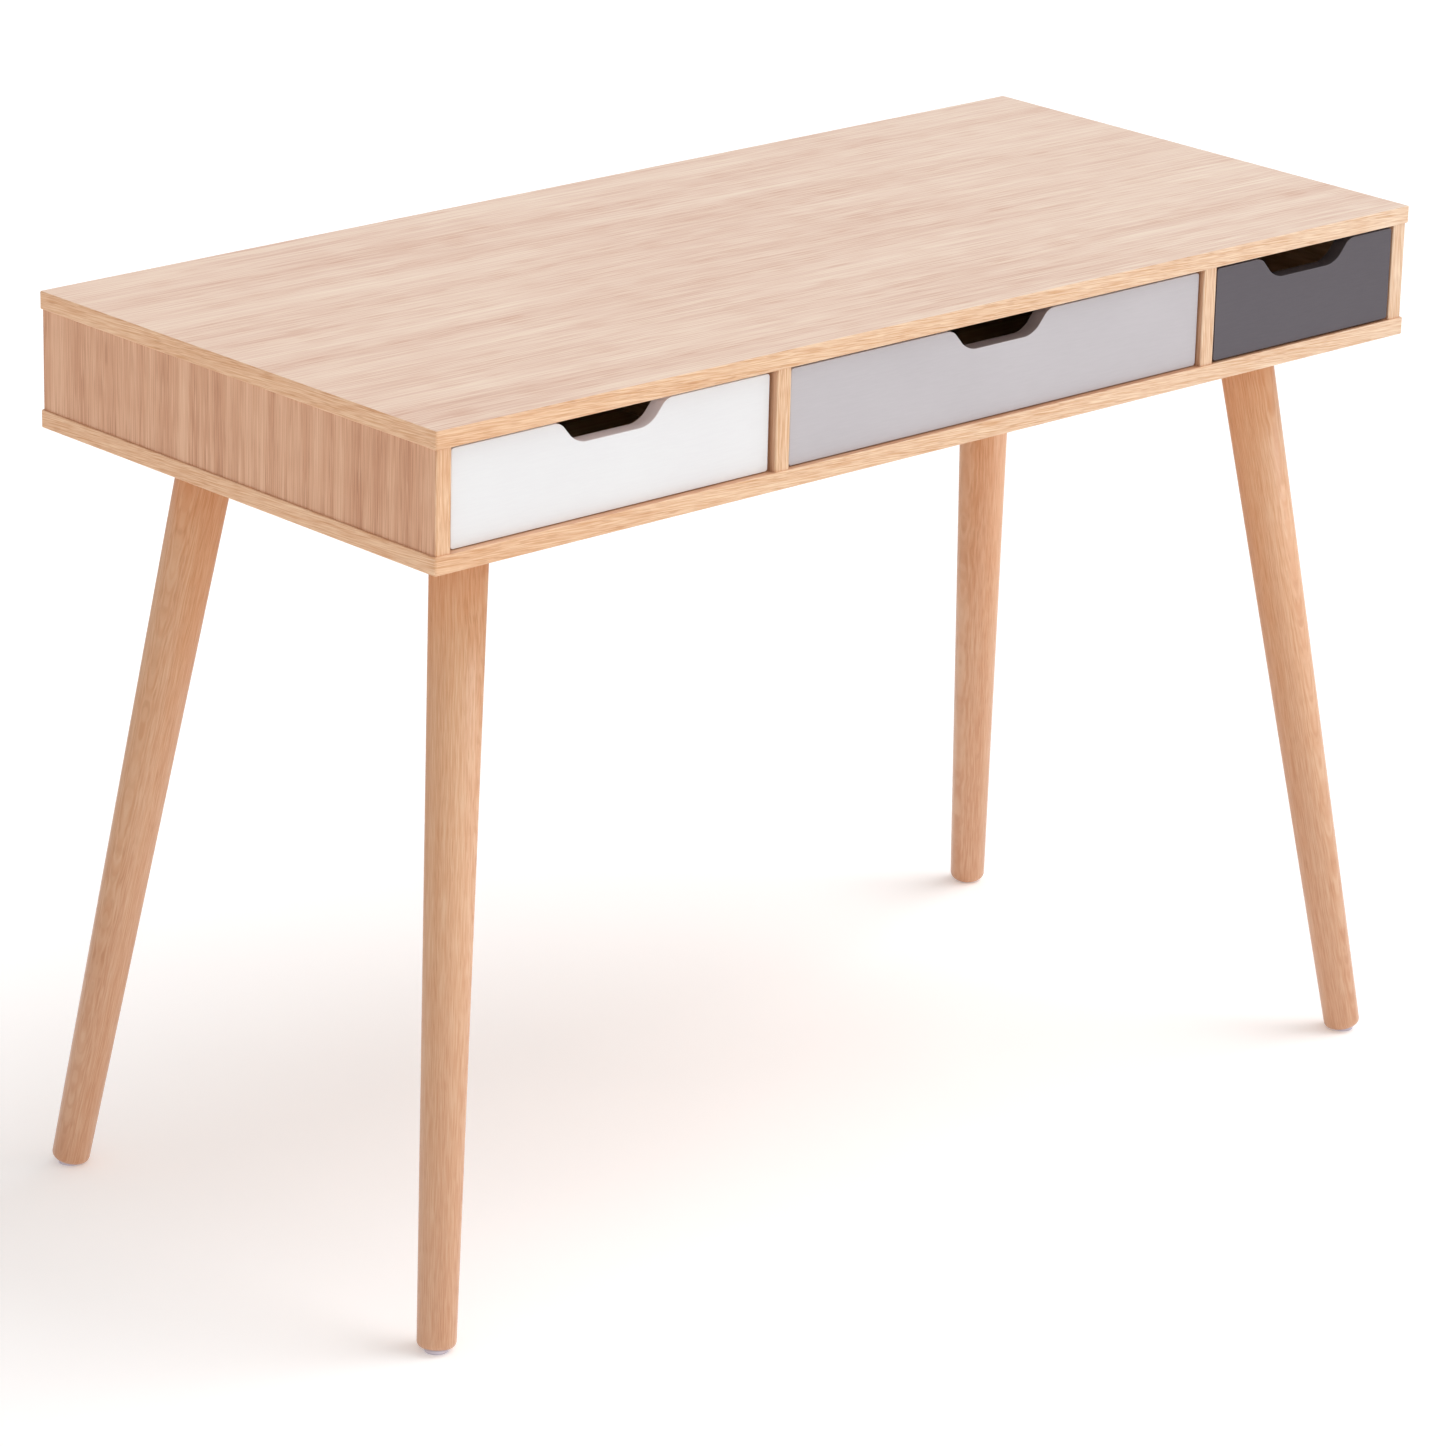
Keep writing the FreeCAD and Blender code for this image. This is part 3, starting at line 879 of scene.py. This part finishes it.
@dataclass
class BandedPanel:
    """A flat panel of the case with an edge band wrapped round it."""

    name: str
    panel_node: str
    band_node: str
    slot: Slot
    heart: tuple[float, float]
    shift: float
    drilled: bool
    band: float = 0.001
    corner_radius: float = 0.002
    arris: float = 0.0009
    board_arris: float = 0.0001
    band_heart: float = 0.20
    front_band_shift: float = 3.0
    end_band_shift: float = 7.0
    corner_facets: int = 6
    board_corner_facets: int = 4
    arris_facets: int = 3

    def build(self, palette: Palette) -> None:
        """Make the board and its edging.

        Args:
            palette: The finishes.
        """
        Piece(self.name, self.panel_node, "case", self.slot).make(self.board(), palette)
        Piece(self.name + "_edging", self.band_node, "case", Slot.OAK_EDGE).make(self.edging(), palette)

    def board(self) -> bmesh.types.BMesh:
        """The board inside the edging.

        Returns:
            Its shape.
        """
        if self.drilled:
            shape = machined(self.panel_node, self.board_arris)
        else:
            shape = block(*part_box(self.panel_node))
            inner_radius = self.corner_radius - self.band
            round_edges(shape, edges_along(shape, 2), inner_radius, self.board_corner_facets, rim=False)
            rims = [edge for face in shape.faces if abs(face.normal.z) > LEVEL for edge in face.edges]
            round_edges(shape, rims, self.board_arris, 1, rim=False)
        GrainFrame.board(Run.LEVEL, self.heart, self.shift).write(shape)
        return shape

    def edging(self) -> bmesh.types.BMesh:
        """The band round the board, with rounded corners and softened arrises.

        Returns:
            Its shape.
        """
        low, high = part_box(self.band_node)
        shape = block(low, high)
        lids = [face for face in shape.faces if abs(face.normal.z) > LEVEL]
        bmesh.ops.delete(shape, geom=lids, context="FACES_ONLY")
        round_edges(shape, edges_along(shape, 2), self.corner_radius, self.corner_facets, rim=False)
        bmesh.ops.recalc_face_normals(shape, faces=shape.faces)
        outside = set(shape.faces)
        bmesh.ops.solidify(shape, geom=list(shape.faces), thickness=self.band)
        bmesh.ops.recalc_face_normals(shape, faces=shape.faces)
        outer = [edge for height in (low.z, high.z) for edge in edges_in_plane(shape, 2, height)
                 if any(face in outside for face in edge.link_faces)]
        round_edges(shape, outer, self.arris, self.arris_facets)
        self._wrap_grain(shape, low, high)
        return shape

    def _wrap_grain(self, shape: bmesh.types.BMesh, low: Vector, high: Vector) -> None:
        """Run the grain along each side of the band.

        Args:
            shape: The band.
            low: Its lowest corner.
            high: Its highest corner.
        """
        layer = shape.loops.layers.float_vector.new(GRAIN)
        heart = (low.z - self.band_heart, 0.0)
        level = GrainFrame.board(Run.LEVEL_UPRIGHT, heart, self.shift + self.front_band_shift)
        deep = GrainFrame.board(Run.DEEP, heart, self.shift + self.end_band_shift)
        for face in shape.faces:
            middle = face.calc_center_median()
            at_end = min(middle.x - low.x, high.x - middle.x) < min(middle.y - low.y, high.y - middle.y)
            for loop in face.loops:
                loop[layer] = (deep if at_end else level).at(loop.vert.co)


@dataclass
class Upright:
    """An upright board of the case with its front edging."""

    name: str
    board_node: str
    band_node: str
    heart: tuple[float, float]
    shift: float
    arris: float = 0.0009
    board_arris: float = 0.00015
    band_heart: tuple[float, float] = (0.15, 0.3)
    band_shift: float = 1.0
    arris_facets: int = 3

    def build(self, palette: Palette) -> None:
        """Make the board and its front edging.

        Args:
            palette: The finishes.
        """
        board = machined(self.board_node, self.board_arris)
        GrainFrame.board(Run.UPRIGHT_SIDE, self.heart, self.shift).write(board)
        Piece(self.name, self.board_node, "case", Slot.OAK_CASE).make(board, palette)

        low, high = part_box(self.band_node)
        strip = block(low, high)
        front = [edge for edge in edges_in_plane(strip, 1, low.y) if edge in edges_along(strip, 2)]
        round_edges(strip, front, self.arris, self.arris_facets)
        across, through = self.band_heart
        heart = ((low.x + high.x) / 2 - across, through)
        GrainFrame.board(Run.UPRIGHT_FRONT, heart, self.shift + self.band_shift).write(strip)
        Piece(self.name + "_edging", self.band_node, "case", Slot.OAK_EDGE).make(strip, palette)


@dataclass
class CaseBack:
    """The back board of the case."""

    node: str = "back_panel"
    heart: tuple[float, float] = (0.62, -0.05)
    shift: float = 4.0
    arris: float = 0.00015

    def build(self, palette: Palette) -> None:
        """Make the back board.

        Args:
            palette: The finishes.
        """
        shape = machined(self.node, self.arris)
        GrainFrame.board(Run.LEVEL_UPRIGHT, self.heart, self.shift).write(shape)
        Piece("case_back", self.node, "case", Slot.OAK_CASE).make(shape, palette)


@dataclass
class TurnedLeg:
    """A tapered, splayed leg turned from solid timber."""

    name: str
    node: str
    side_x: int
    side_y: int
    heart: tuple[float, float]
    shift: float
    top_x: float = 0.446
    top_y: float = 0.156
    splay_x: float = 0.090
    splay_y: float = 0.087
    top_radius: float = 0.024
    foot_radius: float = 0.016
    end_rounding: float = 0.006
    end_height: float = 0.0024
    spare: float = 0.030
    facets: int = 96
    rounding_facets: int = 8

    def seat_height(self) -> float:
        """Height at which the leg meets the case."""
        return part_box(self.node)[1].z

    def axis(self) -> tuple[Vector, Vector]:
        """Line down the middle of the leg.

        Returns:
            Middle of the leg's seat, and the unit direction down the leg.
        """
        seat = Vector((self.side_x * self.top_x, self.side_y * self.top_y, self.seat_height()))
        foot_x, foot_y = self.top_x + self.splay_x, self.top_y + self.splay_y
        foot = Vector((self.side_x * foot_x, self.side_y * foot_y, 0.0))
        return seat, (foot - seat).normalized()

    def end(self) -> Vector:
        """Middle of the leg's lower end."""
        seat, down = self.axis()
        return seat + down * ((self.seat_height() - self.end_height) / -down.z)

    def lean(self) -> Matrix:
        """Turn from upright to the leg's lean."""
        return (-self.axis()[1]).to_track_quat("Z", "Y").to_matrix().to_4x4()

    def build(self, palette: Palette) -> None:
        """Make the leg.

        Args:
            palette: The finishes.
        """
        seat, down = self.axis()
        length = (self.end() - seat).length
        depth = length + self.spare
        flare = (self.top_radius - self.foot_radius) / length
        shape = bmesh.new()
        bmesh.ops.create_cone(shape, cap_ends=True, segments=self.facets, radius1=self.foot_radius,
                              radius2=self.foot_radius + flare * depth, depth=depth)
        for face in shape.faces:
            face.smooth = abs(face.normal.z) < LEVEL
        round_edges(shape, edges_in_plane(shape, 2, -depth / 2), self.end_rounding, self.rounding_facets,
                    rim=False)
        raised = Matrix.Translation(UP * (depth / 2))
        bmesh.ops.transform(shape, matrix=self.lean() @ raised, verts=shape.verts)
        bmesh.ops.translate(shape, vec=self.end(), verts=shape.verts)
        saw_off(shape, seat, UP)
        bmesh.ops.recalc_face_normals(shape, faces=shape.faces)
        side = down.cross(UP).normalized()
        GrainFrame((down, side, down.cross(side)), seat, self.heart, self.shift).write(shape)
        Piece(self.name, self.node, "case", Slot.LEG_WOOD).make(shape, palette)


@dataclass
class FootGlides:
    """The moulded glides under the legs, worn flat where they stand on the floor."""

    legs: list[TurnedLeg]
    node: str = "foot_glides"
    top_radius: float = 0.0105
    foot_radius: float = 0.0085
    depth: float = 0.005
    stem_radius: float = 0.003
    stem_length: float = 0.015
    facets: int = 48

    def build(self, palette: Palette) -> None:
        """Make the four glides as one piece.

        Args:
            palette: The finishes.
        """
        shape = bmesh.new()
        for leg in self.legs:
            self._add_glide(shape, leg)
        bmesh.ops.recalc_face_normals(shape, faces=shape.faces)
        Piece("glides", self.node, "case", Slot.GLIDE_PLASTIC).make(shape, palette)

    def _add_glide(self, shape: bmesh.types.BMesh, leg: TurnedLeg) -> None:
        """Add the glide of one leg.

        Args:
            shape: The shape it is added to.
            leg: The leg.
        """
        glide = bmesh.new()
        bmesh.ops.create_cone(glide, cap_ends=True, segments=self.facets, radius1=self.foot_radius,
                              radius2=self.top_radius, depth=self.depth)
        for face in glide.faces:
            face.smooth = abs(face.normal.z) < LEVEL
        bmesh.ops.translate(glide, vec=UP * (-self.depth / 2), verts=glide.verts)
        crown = [face for face in glide.faces if face.normal.z > LEVEL]
        bmesh.ops.inset_region(glide, faces=crown, thickness=self.top_radius - self.stem_radius)
        stem = bmesh.ops.extrude_face_region(glide, geom=crown)
        lifted = [item for item in stem["geom"] if isinstance(item, bmesh.types.BMVert)]
        bmesh.ops.delete(glide, geom=crown, context="FACES_ONLY")
        bmesh.ops.translate(glide, vec=UP * self.stem_length, verts=lifted)
        bmesh.ops.transform(glide, matrix=Matrix.Translation(leg.end()) @ leg.lean(), verts=glide.verts)
        saw_off(glide, Vector((0.0, 0.0, 0.0)), -UP)
        mesh = bpy.data.meshes.new("glide_blank")
        glide.to_mesh(mesh)
        glide.free()
        shape.from_mesh(mesh)
        bpy.data.meshes.remove(mesh)


@dataclass
class DrawerFront:
    """The lacquered front of a drawer with a finger notch in its top edge."""

    body: str
    slot: Slot
    corner_radius: float = 0.0025
    edge_radius: float = 0.0005
    rear_arris: float = 0.0003
    notch_depth: float = 0.0198
    notch_top_half: float = 0.055
    notch_foot_half: float = 0.038
    notch_foot_radius: float = 0.022
    notch_top_radius: float = 0.012
    corner_facets: int = 8
    edge_facets: int = 4
    facet_area: float = 0.0001

    def build(self, palette: Palette) -> None:
        """Make the front.

        Args:
            palette: The finishes.
        """
        node = self.body + "_front"
        low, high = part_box(node)
        shape = self.outline(low, high)
        bmesh.ops.solidify(shape, geom=list(shape.faces), thickness=high.y - low.y)
        bmesh.ops.recalc_face_normals(shape, faces=shape.faces)
        lowest = min(vert.co.y for vert in shape.verts)
        bmesh.ops.translate(shape, vec=(0.0, low.y - lowest, 0.0), verts=shape.verts)
        for face in shape.faces:
            face.smooth = abs(face.normal.y) < SIDE and face.calc_area() < self.facet_area
        self._mark_notch_shade(shape, low, high)
        round_edges(shape, edges_in_plane(shape, 1, low.y), self.edge_radius, self.edge_facets)
        round_edges(shape, edges_in_plane(shape, 1, high.y), self.rear_arris, 1)
        rim = shape.loops.layers.float[RIM]
        for edge in shape.edges:
            edge.smooth = len({face.loops[0][rim] > 0.5 for face in edge.link_faces}) == 1
        Piece(self.body + "_face", node, self.body, self.slot).make(shape, palette)

    def _mark_notch_shade(self, shape: bmesh.types.BMesh, low: Vector, high: Vector) -> None:
        """Mark the side faces of the finger notch, which get painted shade.

        Args:
            shape: The front.
            low: Lowest corner of the front.
            high: Highest corner of the front.
        """
        layer = shape.loops.layers.float.new(NOTCH_SHADE_MASK)
        middle = (low.x + high.x) / 2
        reach = self.notch_top_half + self.notch_top_radius
        for face in shape.faces:
            centre = face.calc_center_median()
            inside = abs(centre.x - middle) < reach and centre.z > high.z - 1.5 * self.notch_depth
            for loop in face.loops:
                loop[layer] = 1.0 if inside and abs(face.normal.y) < SIDE else 0.0

    def outline(self, low: Vector, high: Vector) -> bmesh.types.BMesh:
        """The flat outline of the front with every corner rounded.

        Args:
            low: Lowest corner of the front.
            high: Highest corner of the front.

        Returns:
            The outline as one flat face.
        """
        middle = (low.x + high.x) / 2
        slope = math.atan2(self.notch_depth, self.notch_top_half - self.notch_foot_half)
        pull = math.tan(slope / 2)
        plan = [
            (low.x, low.z, self.corner_radius),
            (high.x, low.z, self.corner_radius),
            (high.x, high.z, self.corner_radius),
            (middle + self.notch_top_half, high.z, self.notch_top_radius * pull),
            (middle + self.notch_foot_half, high.z - self.notch_depth, self.notch_foot_radius * pull),
            (middle - self.notch_foot_half, high.z - self.notch_depth, self.notch_foot_radius * pull),
            (middle - self.notch_top_half, high.z, self.notch_top_radius * pull),
            (low.x, high.z, self.corner_radius),
        ]
        shape = bmesh.new()
        corners = [shape.verts.new((x, low.y, z)) for x, z, _ in plan]
        shape.faces.new(corners)
        for corner, (_, _, reach) in zip(corners, plan):
            bmesh.ops.bevel(shape, geom=[corner], offset=reach, offset_type="OFFSET",
                            segments=self.corner_facets, profile=0.5, affect="VERTICES",
                            clamp_overlap=True, material=-1)
        return shape


@dataclass
class Drawer:
    """One drawer: its front and the box behind it."""

    bay: str
    paint: Slot
    shift: float
    arris: float = 0.0003
    heart: tuple[float, float] = (0.45, 0.1)
    heart_step: float = 0.05
    shift_step: float = 1.3
    body: str = field(init=False)

    def __post_init__(self) -> None:
        """Name the body that the drawer rides on."""
        self.body = self.bay + "_drawer"

    def build(self, palette: Palette) -> None:
        """Make the front, the sides, the back and the bottom.

        Args:
            palette: The finishes.
        """
        DrawerFront(self.body, self.paint).build(palette)
        parts = (
            ("side_left", "left_cheek", Run.DEEP, Slot.BOX_WOOD),
            ("side_right", "right_cheek", Run.DEEP, Slot.BOX_WOOD),
            ("back", "tail", Run.LEVEL_UPRIGHT, Slot.BOX_WOOD),
            ("bottom", "tray", Run.LEVEL, Slot.BOX_BOTTOM),
        )
        for number, (part, name, run, slot) in enumerate(parts):
            node = self.body + "_" + part
            shape = machined(node, self.arris)
            heart = (self.heart[0], self.heart[1] + self.heart_step * number)
            GrainFrame.board(run, heart, self.shift + self.shift_step * number).write(shape)
            Piece(self.body + "_" + name, node, self.body, slot).make(shape, palette)


@dataclass
class Runners:
    """The plastic runners on the walls of the three bays."""

    arris: float = 0.0004

    def build(self, palette: Palette) -> None:
        """Make the six runners.

        Args:
            palette: The finishes.
        """
        for bay in ("left", "middle", "right"):
            for hand in ("left", "right"):
                node = f"{bay}_bay_runner_{hand}"
                name = f"{bay}_bay_{hand}_rail"
                Piece(name, node, "case", Slot.RUNNER_PLASTIC).make(machined(node, self.arris), palette)


class Fittings:
    """The screws, bolts, cams, dowels and inserts, which keep their CAD shape."""

    SLOTS: ClassVar[dict[str, Slot]] = {
        "screws": Slot.SCREW_STEEL,
        "bolts": Slot.SCREW_STEEL,
        "inserts": Slot.SCREW_STEEL,
        "locks": Slot.CAM_METAL,
        "dowels": Slot.DOWEL_WOOD,
    }

    def dress(self, palette: Palette) -> None:
        """Give every fitting its finish.

        Args:
            palette: The finishes.
        """
        for node, carried in sorted(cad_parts.items()):
            slot = self.SLOTS.get(node.rsplit("_", 1)[-1])
            if slot is None:
                continue
            carried.data.materials.clear()
            carried.data.materials.append(palette.of(slot))
            log.info("%s: fitting in %s", node, slot.value)


def hang_light(data: bpy.types.Light, towards: Vector, place: Vector) -> None:
    """Hang a light in the scene.

    Args:
        data: The light.
        towards: Direction from what it lights to the light.
        place: Where it hangs.
    """
    made = bpy.data.objects.new(data.name, data)
    made.location = place
    made.rotation_euler = towards.to_track_quat("Z", "Y").to_euler()
    bpy.context.scene.collection.objects.link(made)


@dataclass(frozen=True)
class Lamp:
    """A large, far, soft light that lights the floor evenly."""

    name: str
    azimuth: float
    elevation: float
    strength: float
    softness: float
    colour: Colour = (255.0, 255.0, 255.0)

    def hang(self) -> None:
        """Put the light in the scene."""
        data = bpy.data.lights.new(self.name, "SUN")
        data.energy = self.strength
        data.angle = math.radians(self.softness)
        data.color = linear(self.colour)[:3]
        hang_light(data, direction(self.azimuth, self.elevation), Vector((0.0, 0.0, 0.0)))


@dataclass(frozen=True)
class SoftBox:
    """A square diffuser that stands near the desk."""

    name: str
    place: tuple[float, float, float]
    target: tuple[float, float, float]
    side: float
    power: float

    def hang(self) -> None:
        """Put the light in the scene."""
        data = bpy.data.lights.new(self.name, "AREA")
        data.energy = self.power
        data.size = self.side
        place = Vector(self.place)
        hang_light(data, place - Vector(self.target), place)


@dataclass
class Studio:
    """A pale floor, soft studio light and the camera."""

    aim: tuple[float, float, float] = (-0.0171, -0.0012, 0.3486)
    azimuth: float = -42.901
    elevation: float = 19.484
    roll: float = 1.432
    distance: float = 5.3135
    lens: float = 154.01
    sensor: float = 36.0
    floor_radius: float = 60.0
    floor_facets: int = 96
    floor_glow: float = 0.20
    sky_strength: float = 0.98
    sky_rise: Stops = (
        (0.0, (255, 255, 255)), (0.35, (250, 250, 250)), (0.6, (240, 240, 240)), (1.0, (232, 232, 232)))
    sky_sides: Stops = ((0.15, (203, 200, 198)), (0.85, (255, 255, 255)))
    bright_side: tuple[float, float, float] = (0.73, -0.68, 0.0)
    lamps: tuple[Lamp | SoftBox, ...] = (
        Lamp("key", azimuth=64.0, elevation=56.0, strength=1.12, softness=40.0, colour=(252, 253, 255)),
        Lamp("fill", azimuth=-35.0, elevation=10.0, strength=0.20, softness=60.0),
        SoftBox("side_box", place=(1.7, -1.4, 1.3), target=(0.45, -0.25, 0.65), side=1.2, power=3.0),
    )

    def build(self) -> None:
        """Make the floor, the light and the camera."""
        self._floor()
        self._sky()
        for lamp in self.lamps:
            lamp.hang()
        self._camera()
        bpy.context.scene.view_settings.view_transform = "Standard"
        bpy.context.scene.view_settings.look = "None"

    def _floor(self) -> None:
        """Lay the floor."""
        shape = bmesh.new()
        bmesh.ops.create_circle(shape, cap_ends=True, segments=self.floor_facets, radius=self.floor_radius)
        recipe = Recipe("pale_floor")
        cloud = recipe.noise(recipe.place(), 2.0, 0.5, 3.0)
        recipe.shade({
            "Base Color": recipe.ramp(cloud, ((0.3, (246, 246, 246)), (0.7, (249, 249, 249)))),
            "Roughness": 0.85,
            "Specular IOR Level": 0.1,
            "Emission Color": (1.0, 1.0, 1.0, 1.0),
            "Emission Strength": self.floor_glow,
        })
        stand("studio_floor", shape, recipe.material)

    def _sky(self) -> None:
        """Surround the desk with a soft, pale studio."""
        world = bpy.data.worlds.new("studio")
        world.use_nodes = True
        nodes, links = world.node_tree.nodes, world.node_tree.links
        place = nodes.new("ShaderNodeTexCoord")
        parts = nodes.new("ShaderNodeSeparateXYZ")
        facing = nodes.new("ShaderNodeVectorMath")
        facing.operation = "DOT_PRODUCT"
        facing.inputs[1].default_value = self.bright_side
        across = nodes.new("ShaderNodeMath")
        across.operation = "MULTIPLY_ADD"
        across.inputs[1].default_value = 0.5
        across.inputs[2].default_value = 0.5
        blend = nodes.new("ShaderNodeMix")
        blend.data_type = "RGBA"
        blend.blend_type = "MULTIPLY"
        blend.inputs[0].default_value = 1.0
        links.new(place.outputs["Generated"], parts.inputs[0])
        links.new(place.outputs["Generated"], facing.inputs[0])
        links.new(facing.outputs["Value"], across.inputs[0])
        ways = ((parts.outputs["Z"], self.sky_rise, 6), (across.outputs[0], self.sky_sides, 7))
        for way, stops, socket in ways:
            ramp = nodes.new("ShaderNodeValToRGB")
            set_stops(ramp, stops)
            links.new(way, ramp.inputs["Fac"])
            links.new(ramp.outputs["Color"], blend.inputs[socket])
        links.new(blend.outputs[2], nodes["Background"].inputs["Color"])
        nodes["Background"].inputs["Strength"].default_value = self.sky_strength
        bpy.context.scene.world = world

    def _camera(self) -> None:
        """Stand the camera at the front left, a little above the desk."""
        back = direction(self.azimuth, self.elevation)
        roll = math.radians(self.roll)
        right = (-back).cross(UP).normalized()
        up = right.cross(-back)
        tilted_right = right * math.cos(roll) + up * math.sin(roll)
        tilted_up = up * math.cos(roll) - right * math.sin(roll)
        data = bpy.data.cameras.new("camera")
        data.lens = self.lens
        data.sensor_width = self.sensor
        camera = bpy.data.objects.new("camera", data)
        spin = Matrix((tilted_right, tilted_up, back)).transposed().to_4x4()
        camera.matrix_world = Matrix.Translation(Vector(self.aim) + back * self.distance) @ spin
        bpy.context.scene.collection.objects.link(camera)
        bpy.context.scene.camera = camera


def main() -> None:
    """Build the studio and every piece of the desk."""
    logging.basicConfig(level=logging.INFO, format="%(name)s: %(message)s")
    Studio().build()
    palette = Palette()

    for panel in (
        BandedPanel("worktop", "top_panel", "top_edge_band", Slot.OAK_TOP, (-1.1, -0.4), 2.0, False),
        BandedPanel("case_floor", "bottom_panel", "bottom_edge_band", Slot.OAK_CASE, (0.9, 0.3), 5.0, True),
    ):
        panel.build(palette)
    for upright in (
        Upright("left_side", "left_side_panel", "left_side_edge_band", (0.70, -0.80), 1.2),
        Upright("left_partition", "left_divider", "left_divider_edge_band", (0.60, -0.90), 2.6),
        Upright("right_partition", "right_divider", "right_divider_edge_band", (0.60, 0.90), 3.9),
        Upright("right_side", "right_side_panel", "right_side_edge_band", (0.75, -0.70), 6.3),
    ):
        upright.build(palette)
    CaseBack().build(palette)

    legs = [
        TurnedLeg("leg_front_left", "front_left_leg", -1, -1, (0.040, 0.015), 1.0),
        TurnedLeg("leg_front_right", "front_right_leg", 1, -1, (0.050, -0.020), 3.0),
        TurnedLeg("leg_rear_left", "rear_left_leg", -1, 1, (-0.045, 0.030), 5.0),
        TurnedLeg("leg_rear_right", "rear_right_leg", 1, 1, (0.035, 0.040), 7.0),
    ]
    for leg in legs:
        leg.build(palette)
    FootGlides(legs).build(palette)

    for bay, paint, shift in (("left", Slot.WHITE_PAINT, 1.0), ("middle", Slot.GREY_PAINT, 8.0),
                              ("right", Slot.DARK_PAINT, 15.0)):
        Drawer(bay, paint, shift).build(palette)
    Runners().build(palette)
    Fittings().dress(palette)


if __name__ == "__main__":
    main()
